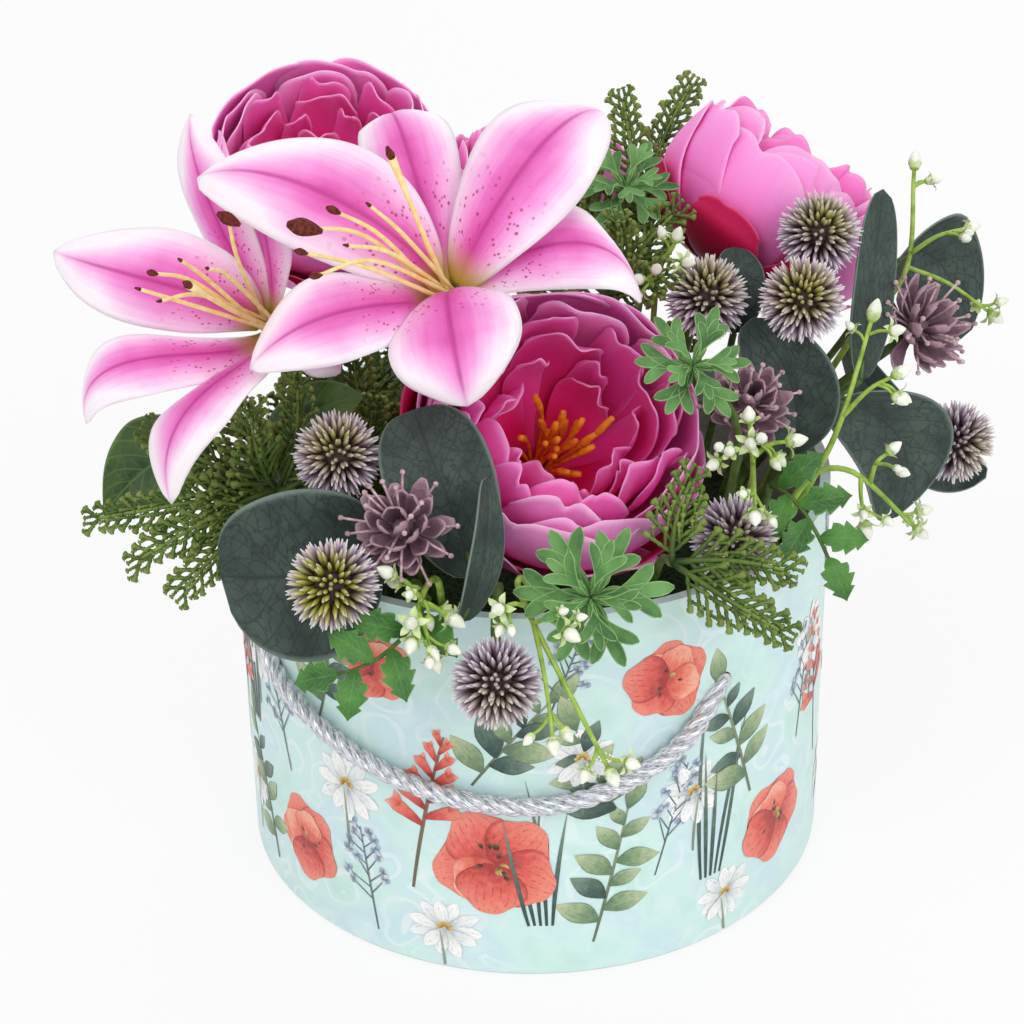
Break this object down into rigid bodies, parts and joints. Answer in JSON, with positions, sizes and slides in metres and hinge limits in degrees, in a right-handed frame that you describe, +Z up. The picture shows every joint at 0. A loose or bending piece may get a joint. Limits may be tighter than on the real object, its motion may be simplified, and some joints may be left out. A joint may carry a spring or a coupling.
{
  "type": "flower box",
  "caption": "Round printed hat box of artificial lilies, peonies, globe thistles and mixed foliage set in foam, with a twisted rope handle hung across its front.",
  "frame": {"origin": "centre of the box's underside, on the surface it stands on", "axes": "+Z up along the box's axis, -Y the front with the rope handle, +X to the right seen from the front"},
  "size_m": [0.3091, 0.2881, 0.2766],
  "materials": {
    "greyboard": "matte",
    "printed_paper": "satin",
    "foam": "matte",
    "satin_rope": "satin",
    "lily_petal": "matte",
    "lily_stamen": "matte",
    "lily_pistil": "matte",
    "peony_petal": "matte",
    "peony_stamen": "matte",
    "thistle_head": "matte",
    "stonecrop_petal": "matte",
    "eucalyptus_leaf": "matte",
    "broad_leaf": "matte",
    "parsley_leaf": "matte",
    "cypress_twig": "matte",
    "white_bud": "satin",
    "stem": "satin"
  },
  "bodies": {
    "box": {"box_base": "greyboard", "box_wall": "greyboard", "broad_leaves": "broad_leaf", "bud_spray_centre": "white_bud", "bud_spray_front": "white_bud", "bud_spray_left": "white_bud", "bud_spray_right": "white_bud", "bud_spray_side": "white_bud", "bud_spray_top": "white_bud", "cypress_left": "cypress_twig", "cypress_right": "cypress_twig", "cypress_top": "cypress_twig", "eucalyptus_back": "eucalyptus_leaf", "eucalyptus_left": "eucalyptus_leaf", "eucalyptus_right": "eucalyptus_leaf", "floral_foam": "foam", "handle_rope_ends": "satin_rope", "lily_front_petals_inner": "lily_petal", "lily_front_petals_outer": "lily_petal", "lily_front_pistil": "lily_pistil", "lily_front_stamens": "lily_stamen", "lily_front_stem": "stem", "lily_left_petals_inner": "lily_petal", "lily_left_petals_outer": "lily_petal", "lily_left_pistil": "lily_pistil", "lily_left_stamens": "lily_stamen", "lily_left_stem": "stem", "parsley_centre": "parsley_leaf", "parsley_front": "parsley_leaf", "parsley_top": "parsley_leaf", "peony_back_left_petals_inner": "peony_petal", "peony_back_left_petals_outer": "peony_petal", "peony_back_left_stamens": "peony_stamen", "peony_back_left_stem": "stem", "peony_back_petals_inner": "peony_petal", "peony_back_petals_outer": "peony_petal", "peony_back_right_petals_inner": "peony_petal", "peony_back_right_petals_outer": "peony_petal", "peony_back_right_stamens": "peony_stamen", "peony_back_right_stem": "stem", "peony_back_stamens": "peony_stamen", "peony_back_stem": "stem", "peony_front_petals_inner": "peony_petal", "peony_front_petals_outer": "peony_petal", "peony_front_stamens": "peony_stamen", "peony_front_stem": "stem", "printed_wrap": "printed_paper", "serrated_leaves": "broad_leaf", "stonecrop_1": "stonecrop_petal", "stonecrop_2": "stonecrop_petal", "stonecrop_3": "stonecrop_petal", "thistle_1": "thistle_head", "thistle_2": "thistle_head", "thistle_3": "thistle_head", "thistle_4": "thistle_head", "thistle_5": "thistle_head", "thistle_6": "thistle_head", "thistle_7": "thistle_head", "thistle_8": "thistle_head"},
    "handle": {"handle_rope": "satin_rope"}
  },
  "joints": [
    {"name": "handle_swing", "type": "hinge", "parent": "box", "child": "handle", "pos_m": [-0.09365, -0.04568, 0.1], "axis": [-0.9703, 0.2419, 0], "range_deg": [0, 55]}
  ]
}
